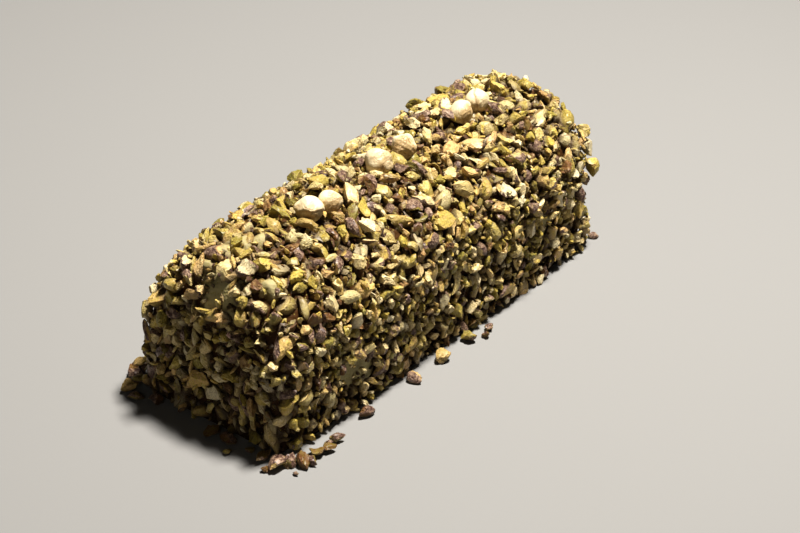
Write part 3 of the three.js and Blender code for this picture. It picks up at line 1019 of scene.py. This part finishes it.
def pistachio_material(name, *flesh_colours):
    """Raw pistachio, chopped with a knife: a waxy, faintly oily flesh whose breaks are finely granular.

    flesh_colours are what its flesh runs through from piece to piece. Its breaks catch small bright
    highlights, its outsides are greener and smoother, and its dried skin is dull and wrinkled.
    """
    material, add = new_material(name)
    c = colours()
    where = add("TexCoord", out="Object")
    keys = ("hue", "rind", "rim", "skin", "height", "frost")
    hue, rind, rim, skin, height, frost = (add("Attribute", out="Fac", attribute_name=key) for key in keys)
    patches = add("TexNoise", {"Vector": where, "Scale": 1 / FLESH_PATCH, "Detail": 3.0, "Roughness": 0.6})
    crumbs = add("TexNoise", {"Vector": where, "Scale": 1 / FLESH_GRAIN, "Detail": 3.0, "Roughness": 0.7})
    folds = add("TexNoise", {"Vector": where, "Scale": 1 / SKIN_FOLD, "Detail": 2.0, "Distortion": 1.2})
    folds = add("Math", {0: folds, 1: 0.5}, operation="SUBTRACT")
    folds = add("Math", {0: folds}, operation="ABSOLUTE")

    # Each piece has its own place on the ramp of flesh colours, and its patches wander about that place.
    wander = add("Math", {0: patches, 1: PATCH_CONTRAST, 2: hue}, operation="MULTIPLY_ADD")
    wander = add("Math", {0: wander, 1: PATCH_CONTRAST / 2}, operation="SUBTRACT")
    stops = [(i / (len(flesh_colours) - 1), colour) for i, colour in enumerate(flesh_colours)]
    flesh = add("ValToRGB", {"Fac": wander}, stops=stops)
    under_skin = add("Math", {0: rind, 1: RIND_GREEN}, operation="MULTIPLY")
    flesh = add("Mix", {"Factor": under_skin, "A": flesh, "B": c.flesh_olive}, data_type="RGBA")
    # The flesh is painted darker brown in the pits of its grain, as painted shade, and is brown along its
    # cracks and where the skin's broken edge shows.
    pit_shade = add("MapRange", {"Value": crumbs, "From Min": 0.46, "From Max": 0.26, "To Max": 0.7})
    cracked = add("MapRange", {"Value": folds, "From Min": 0.03, "From Max": 0.0, "To Max": 0.5})
    edged = add("MapRange", {"Value": rim, "From Min": 0.62, "From Max": 0.9, "To Max": 0.7})
    browned = add("Math", {0: pit_shade, 1: cracked}, operation="MAXIMUM")
    browned = add("Math", {0: browned, 1: edged}, operation="MAXIMUM")
    flesh = add("Mix", {"Factor": browned, "A": flesh, "B": c.flesh_brown}, data_type="RGBA")

    # The skin is rubbed pale in patches and dark in its wrinkles, and covers part of a piece's outside.
    worn = add("MapRange", {"Value": patches, "From Min": 0.35, "From Max": 0.6})
    skin_colour = add("Mix", {"Factor": worn, "A": c.skin_purple, "B": c.skin_grey}, data_type="RGBA")
    wrinkled = add("MapRange", {"Value": folds, "From Min": 0.07, "From Max": 0.0, "To Max": 0.9})
    skin_colour = add("Mix", {"Factor": wrinkled, "A": skin_colour, "B": c.skin_purple}, data_type="RGBA")
    covered = add("Math", {0: skin, 1: patches}, operation="SUBTRACT")
    covered = add("MapRange", {"Value": covered, "From Min": -0.02, "From Max": 0.02})
    surface = add("Mix", {"Factor": covered, "A": flesh, "B": skin_colour}, data_type="RGBA")

    # Ice cream clings round each piece's foot, and higher on the ones that were pressed in and slid.
    reach = add("Math", {0: frost, 1: FROST_RISE, 2: FROST_START}, operation="MULTIPLY_ADD")
    reach = add("Math", {0: patches, 1: FROST_RAGGED, 2: reach}, operation="MULTIPLY_ADD")
    smear = add("Math", {0: reach, 1: height}, operation="SUBTRACT")
    smear = add("MapRange", {"Value": smear, "From Min": 0.0, "From Max": 1.2, "To Max": 0.75})
    surface = add("Mix", {"Factor": smear, "A": surface, "B": c.cream}, data_type="RGBA")
    # Painted shade: low down between the nuts everything is painted dark brown, which stands in for the shade
    # deep in the gaps of the coat.
    gap_shading = add("MapRange", {"Value": height, "From Min": GAP_SHADE_TOP, "From Max": GAP_SHADE_FULL, "To Max": 0.9})
    surface = add("Mix", {"Factor": gap_shading, "A": surface, "B": c.gap_shade}, data_type="RGBA")

    # Skin is duller than flesh, and its wrinkles are hollows.
    rough = add("MapRange", {"Value": covered, "To Min": 0.42, "To Max": 0.58})
    puckered = add("Math", {0: wrinkled, 1: covered}, operation="MULTIPLY")
    relief = add("Math", {0: puckered, 1: -0.4, 2: crumbs}, operation="MULTIPLY_ADD")
    bump = add("Bump", {"Height": relief, "Strength": 1.0, "Distance": PISTACHIO_RELIEF})
    # Nut oil and damp from the ice cream leave a thin film on it, which gives white glints on the lit breaks.
    film = {"Coat Weight": 0.5, "Coat Roughness": 0.38, "Coat IOR": 1.4}
    finish = {"Base Color": surface, "Roughness": rough, "Normal": bump, "IOR": NUT_IOR, **film}
    add("OutputMaterial", {"Surface": add("BsdfPrincipled", finish)})
    return material


def ice_cream_material():
    """Churned pistachio ice cream, spread with a palette knife: pale and satin, with air holes and flecks."""
    material, add = new_material("Ice_cream_pistachio_spread")
    c = colours()
    where = add("TexCoord", out="Object")
    strokes = add("TexNoise", {"Vector": where, "Scale": 1 / KNIFE_STROKE, "Detail": 4.0, "Roughness": 0.55})
    flecks = add("TexVoronoi", {"Vector": where, "Scale": 1 / FLECK_SPACING})
    bare = add("Attribute", out="Fac", attribute_name="bare")
    cream = add("Mix", {"Factor": strokes, "A": c.cream_pale, "B": c.cream_deep}, data_type="RGBA")
    # Painted shade: under the coat the ice cream is painted the dark brown that stands in for the shade
    # between the nuts; only where it shows bare does it keep its own colours.
    cream = add("Mix", {"Factor": bare, "A": c.gap_shade, "B": cream}, data_type="RGBA")
    fleck = add("MapRange", {"Value": flecks, "From Min": 0.28, "From Max": 0.16})
    cream = add("Mix", {"Factor": fleck, "A": cream, "B": c.fleck}, data_type="RGBA")
    relief = add("Math", {0: flecks, 1: strokes}, operation="ADD")
    bump = add("Bump", {"Height": relief, "Strength": 0.5, "Distance": ICE_CREAM_RELIEF})
    # Fat and ice scatter the light, so it has little shine.
    finish = {"Base Color": cream, "Roughness": 0.6, "Normal": bump, "IOR": 1.36, "Specular IOR Level": 0.3}
    add("OutputMaterial", {"Surface": add("BsdfPrincipled", finish)})
    return material


def hazelnut_material():
    """Blanched hazelnut, lightly roasted: dense ivory flesh, satin, with tan blotches and fine creases."""
    material, add = new_material("Hazelnut_blanched_roasted")
    c = colours()
    where = add("TexCoord", out="Object")
    blotches = add("TexNoise", {"Vector": where, "Scale": 1 / TAN_BLOTCH, "Detail": 4.0, "Roughness": 0.66})
    pores = add("TexNoise", {"Vector": where, "Scale": 1 / HAZELNUT_PORE, "Detail": 2.0})
    folds = add("TexNoise", {"Vector": where, "Scale": 1 / HAZELNUT_CREASE, "Detail": 1.5, "Distortion": 0.6})
    groove, under = (add("Attribute", out="Fac", attribute_name=key) for key in ("groove", "under"))
    browned = add("Math", {0: under, 1: 0.6, 2: blotches}, operation="MULTIPLY_ADD")
    browned = add("MapRange", {"Value": browned, "From Min": 0.56, "From Max": 0.84, "To Max": 0.85})
    flesh = add("Mix", {"Factor": browned, "A": c.hazelnut, "B": c.hazelnut_tan}, data_type="RGBA")
    # Where it is browned, fine creases run through it.
    off = add("Math", {0: folds, 1: 0.5}, operation="SUBTRACT")
    off = add("Math", {0: off}, operation="ABSOLUTE")
    creased = add("MapRange", {"Value": off, "From Min": 0.03, "From Max": 0.0})
    creased = add("Math", {0: creased, 1: under}, operation="MULTIPLY")
    groove = add("Math", {0: groove, 1: creased}, operation="MAXIMUM")
    flesh = add("Mix", {"Factor": groove, "A": flesh, "B": c.hazelnut_crease}, data_type="RGBA")
    relief = add("Math", {0: creased, 1: -1.5, 2: pores}, operation="MULTIPLY_ADD")
    bump = add("Bump", {"Height": relief, "Strength": 0.5, "Distance": HAZELNUT_RELIEF})
    finish = {"Base Color": flesh, "Roughness": 0.48, "Normal": bump, "IOR": NUT_IOR}
    add("OutputMaterial", {"Surface": add("BsdfPrincipled", finish)})
    return material


def floor_material():
    """Seamless matt paper: pale, with no shine, and the faint tooth of its fibres."""
    material, add = new_material("Paper_seamless_matt")
    where = add("TexCoord", out="Object")
    fibres = add("TexNoise", {"Vector": where, "Scale": 1 / PAPER_TOOTH, "Detail": 2.0})
    bump = add("Bump", {"Height": fibres, "Strength": 0.05, "Distance": PAPER_RELIEF})
    finish = {"Base Color": bpy.context.scene.log_cake_stage.floor, "Roughness": 0.9, "Normal": bump}
    add("OutputMaterial", {"Surface": add("BsdfPrincipled", finish)})
    return material


# ---------------------------------------------------------------- operators

class LOGCAKE_OT_ice_cream(bpy.types.Operator):
    """Make the ice cream under the nuts"""

    bl_idname = "log_cake.ice_cream"
    bl_label = "Ice cream"

    def execute(self, context):
        points, faces, normals, _ = ice_cream_form()
        x, y, z = points.T
        short = STROKES[0] * np.sin(x / 3.1 + 2 * np.sin(z / 7)) * np.sin(y / 4.3 + z / 3.7)
        strokes = short + STROKES[1] * np.sin(x / 7 + y / 5)
        smear = smear_at(points)
        dressed = points + normals * (strokes * (z > 0.5) + SMEAR_RISE * smear)[:, None]
        dressed[:, 2] = np.maximum(dressed[:, 2], 0)
        # Only the bare patches and smears keep the ice cream's own colours; elsewhere its material paints it
        # dark as painted shade under the nuts.
        bare = np.maximum(1 - cover_at(points), smear)
        mesh = mesh_of("Ice_cream", dressed, faces, ice_cream_material(), values={"bare": bare})
        piece = add_piece(mesh)
        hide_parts(LOG_NODE)
        return {"FINISHED"}


class NutKind:
    """What the operators for kinds of chopped nut share.

    kind is the plan that it follows, finish its material's name, flesh its flesh colours, skin the share of
    its nuts that have some and the least and most of their outsides that it covers, and shape how they are
    broken.
    """

    bl_options = {"REGISTER"}
    skin = (0.1, 0.5, 0.8)
    shape = {}

    def execute(self, context):
        flesh = [getattr(colours(), "flesh_" + name) for name in self.flesh]
        material = pistachio_material(self.finish, *flesh)
        mesh = nut_mesh(self.piece_name, coat_plan()[self.kind], material, self.seed, self.skin, **self.shape)
        piece = add_piece(mesh)
        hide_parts(LOG_NODE)
        return {"FINISHED"}


class LOGCAKE_OT_kernels(NutKind, bpy.types.Operator):
    """Add the whole and half kernels, which are the largest pieces"""

    bl_idname = "log_cake.kernels"
    bl_label = "Kernels"
    kind, piece_name, seed = "kernels", "Pistachio_kernels", 3
    finish, flesh = "Pistachio_kernel_halved", ("pale", "yellow", "green", "gold")
    skin = (0.45, 0.6, 1.0)
    shape = {"whole": 0.25, "cross_cuts": 0.35, "chips": 3, "bites": 2, "torn": 0.025}


class LOGCAKE_OT_green_pieces(NutKind, bpy.types.Operator):
    """Add the green chopped pieces"""

    bl_idname = "log_cake.green_pieces"
    bl_label = "Green pieces"
    kind, piece_name, seed = "green", "Pistachio_green_pieces", 5
    finish, flesh = "Pistachio_flesh_green", ("yellow", "green", "olive")
    skin = (0.12, 0.5, 0.8)


class LOGCAKE_OT_golden_pieces(NutKind, bpy.types.Operator):
    """Add the pieces that roasting has turned golden"""

    bl_idname = "log_cake.golden_pieces"
    bl_label = "Golden pieces"
    kind, piece_name, seed = "golden", "Pistachio_golden_pieces", 7
    finish, flesh = "Pistachio_flesh_roasted", ("pale", "yellow", "gold", "brown")
    skin = (0.15, 0.5, 0.8)


class LOGCAKE_OT_skinned_pieces(NutKind, bpy.types.Operator):
    """Add the pieces that still have their purple skin"""

    bl_idname = "log_cake.skinned_pieces"
    bl_label = "Skinned pieces"
    kind, piece_name, seed = "skinned", "Pistachio_skinned_pieces", 9
    finish, flesh = "Pistachio_skin_dried", ("yellow", "olive", "brown")
    skin = (0.95, 0.75, 1.1)
    shape = {"halved": 0.85, "cross_cuts": 0.5}


class LOGCAKE_OT_slivers(NutKind, bpy.types.Operator):
    """Add the thin splinters of nut"""

    bl_idname = "log_cake.slivers"
    bl_label = "Slivers"
    kind, piece_name, seed = "slivers", "Pistachio_slivers", 11
    finish, flesh = "Pistachio_flesh_splintered", ("pale", "green", "gold")


class LOGCAKE_OT_grains(NutKind, bpy.types.Operator):
    """Add the finest grains of nut"""

    bl_idname = "log_cake.grains"
    bl_label = "Grains"
    kind, piece_name, seed = "grains", "Pistachio_grains", 13
    finish, flesh = "Pistachio_flesh_crumbled", ("yellow", "green", "brown")


class LOGCAKE_OT_dropped_pieces(NutKind, bpy.types.Operator):
    """Scatter the pieces that have dropped to the foot"""

    bl_idname = "log_cake.dropped_pieces"
    bl_label = "Dropped pieces"
    kind, piece_name, seed = "dropped", "Pistachio_dropped_pieces", 15
    # Painted shade: the dropped pieces get darker flesh colours and more skin than the coat's, which stands in
    # for the shadow at the foot of the log.
    finish, flesh = "Pistachio_flesh_dropped", ("gold", "olive", "brown")
    skin = (0.75, 0.7, 1.0)


def hazelnut_mesh(name, number, material):
    """One hazelnut round the place of its solid: a ball with a blunt tip, a flattened foot, worn facets and
    ribs, and on some a seam where its halves have slipped."""
    _, _, diameter, lean, turn = HAZELNUT_PLACES[number]
    low, high = (np.array(corner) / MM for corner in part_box(name))
    ways, triangles, unfolded = ball_of(HAZELNUT_STEPS)
    rng = np.random.default_rng(HAZELNUT_SEED + number)
    turned = turns_about(2, np.array([turn]))[0] @ turns_about(0, np.array([lean]))[0]
    facing = ways @ turned.T
    x, y, z = ways.T
    round_about = np.arctan2(y, x)
    tip = TIP * np.maximum(z, 0) ** 6
    foot = -BLUNT_FOOT * np.maximum(-z, 0) ** 4
    ribs = RIB * np.cos(RIBS * round_about) * (1 - z * z)
    gaps = rng.uniform(*FACET_GAPS, HAZELNUT_FACETS)[:, None]
    reach = gaps / np.maximum(random_ways(rng, HAZELNUT_FACETS) @ ways.T, FLATTEST)
    worn = (reach**-FACET_SHARPNESS).sum(axis=0) + WIDEST**-FACET_SHARPNESS
    worn = worn ** (-1 / FACET_SHARPNESS)
    waves = rng.normal(scale=3.6, size=(5, 3))
    lumps = LUMP * np.sin(ways @ waves.T + rng.uniform(0, 6, 5)).sum(axis=1)
    lines = LINE * np.sin(LINES * round_about + 3 * np.sin(4 * z + number)) * (1 - z * z)
    browned_side, browning, depth = HAZELNUT_BROWNED[number]
    toward = facing @ browned_side / np.linalg.norm(browned_side)
    under = np.clip((toward + 0.15) / 0.7, 0, 1) * browning
    puckers = PUCKER * under * np.abs(np.sin(2.4 * ways @ waves[:2].T + 1)).prod(axis=1)
    hollow = depth * np.exp(-(((1 - toward) / HOLLOW_WIDTH) ** 2))
    radius = worn * (1 + tip + foot + ribs + lumps + lines) - puckers - hollow
    seam = np.zeros(len(ways))
    if number in HAZELNUT_LEDGES:
        looks, slip = HAZELNUT_LEDGES[number]
        ragged = SEAM_WANDER * np.sin(5 * np.arctan2(facing[:, 1], facing[:, 0]) + number)
        up = facing @ looks + ragged
        seam = np.exp(-((up / SEAM_WIDTH) ** 2))
        radius += slip * np.tanh(up / STEP_WIDTH) - SEAM_DEPTH * seam
    points = facing * (diameter / 2 * radius)[:, None]
    for way, stretch in zip((SLANT_ACROSS, SLANT_UP), HAZELNUT_STRETCH[number]):
        points += (stretch - 1) * (points @ way)[:, None] * way
    points += (low + high) / 2
    values = {"groove": np.clip(0.6 * seam + 0.6 * np.maximum(-z - 0.86, 0) / 0.14, 0, 1), "under": under}
    return mesh_of(name.capitalize(), points, triangles, material, flat=unfolded, values=values)


class LOGCAKE_OT_hazelnuts(bpy.types.Operator):
    """Set the hazelnuts along the top"""

    bl_idname = "log_cake.hazelnuts"
    bl_label = "Hazelnuts"

    def execute(self, context):
        material = hazelnut_material()
        for number, name in enumerate(HAZELNUT_NODES):
            piece = add_piece(hazelnut_mesh(name, number, material))
            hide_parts(name)
        return {"FINISHED"}


class LOGCAKE_OT_stage(bpy.types.Operator):
    """Lay the floor and set up the lights and the camera"""

    bl_idname = "log_cake.stage"
    bl_label = "Stage"

    def execute(self, context):
        scene = context.scene
        stage = scene.log_cake_stage
        mesh = bpy.data.meshes.new("Floor")
        corners = [(x * FLOOR_REACH, y * FLOOR_REACH, 0) for x, y in ((-1, -1), (1, -1), (1, 1), (-1, 1))]
        mesh.from_pydata(corners, [], [(0, 1, 2, 3)])
        mesh.materials.append(floor_material())
        floor = bpy.data.objects.new("Floor", mesh)
        scene.collection.objects.link(floor)

        for name, power, place, width in LAMPS:
            lamp = bpy.data.lights.new(name, "AREA")
            lamp.energy, lamp.size, lamp.color = getattr(stage, power), width, LAMP_COLOUR
            light = bpy.data.objects.new(name, lamp)
            light.location = place
            light.rotation_euler = (-Vector(place)).to_track_quat("-Z", "Y").to_euler()
            scene.collection.objects.link(light)

        world = bpy.data.worlds.new("Room")
        world.use_nodes = True
        background = world.node_tree.nodes["Background"].inputs
        background["Color"].default_value = ROOM_COLOUR
        background["Strength"].default_value = stage.room
        scene.world = world
        scene.view_settings.view_transform = "Standard"
        scene.view_settings.look = "Medium High Contrast"

        lens = bpy.data.cameras.new("Camera")
        lens.sensor_width, lens.lens = SENSOR_WIDTH, stage.lens
        lens.clip_start, lens.clip_end = CAMERA_NEAR, CAMERA_FAR
        camera = bpy.data.objects.new("Camera", lens)
        camera.location = CAMERA_PLACE
        camera.rotation_mode = "QUATERNION"
        way = (CAMERA_AIM - CAMERA_PLACE).to_track_quat("-Z", "Y")
        camera.rotation_quaternion = way @ Quaternion((0, 0, 1), CAMERA_ROLL)
        scene.collection.objects.link(camera)
        scene.camera = camera
        return {"FINISHED"}


class LOGCAKE_PT_panel(bpy.types.Panel):
    """Lists the cake's pieces and settings"""

    bl_label = "Log cake"
    bl_idname = "LOGCAKE_PT_panel"
    bl_space_type = "VIEW_3D"
    bl_region_type = "UI"
    bl_category = "Log cake"

    def draw(self, context):
        for operator in OPERATORS:
            self.layout.operator(operator.bl_idname)
        for group, name in SETTINGS:
            box = self.layout.box()
            for key in group.__annotations__:
                box.prop(getattr(context.scene, name), key)


OPERATORS = (
    LOGCAKE_OT_ice_cream,
    LOGCAKE_OT_kernels,
    LOGCAKE_OT_green_pieces,
    LOGCAKE_OT_golden_pieces,
    LOGCAKE_OT_skinned_pieces,
    LOGCAKE_OT_slivers,
    LOGCAKE_OT_grains,
    LOGCAKE_OT_dropped_pieces,
    LOGCAKE_OT_hazelnuts,
    LOGCAKE_OT_stage,
)
SETTINGS = (
    (CakeSizes, "log_cake_sizes"),
    (CakeColours, "log_cake_colours"),
    (StageSettings, "log_cake_stage"),
)


def register():
    for kind in (*(group for group, _ in SETTINGS), *OPERATORS, LOGCAKE_PT_panel):
        bpy.utils.register_class(kind)
    for group, name in SETTINGS:
        setattr(bpy.types.Scene, name, bpy.props.PointerProperty(type=group))


def unregister():
    for _, name in SETTINGS:
        delattr(bpy.types.Scene, name)
    for kind in (LOGCAKE_PT_panel, *reversed(OPERATORS), *(group for group, _ in SETTINGS)):
        bpy.utils.unregister_class(kind)


def main():
    """Builds the cake and its stage."""
    register()
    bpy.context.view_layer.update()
    bpy.ops.log_cake.ice_cream()
    bpy.ops.log_cake.kernels()
    bpy.ops.log_cake.green_pieces()
    bpy.ops.log_cake.golden_pieces()
    bpy.ops.log_cake.skinned_pieces()
    bpy.ops.log_cake.slivers()
    bpy.ops.log_cake.grains()
    bpy.ops.log_cake.dropped_pieces()
    bpy.ops.log_cake.hazelnuts()
    bpy.ops.log_cake.stage()
    bpy.context.view_layer.update()


if __name__ == "__main__":
    main()
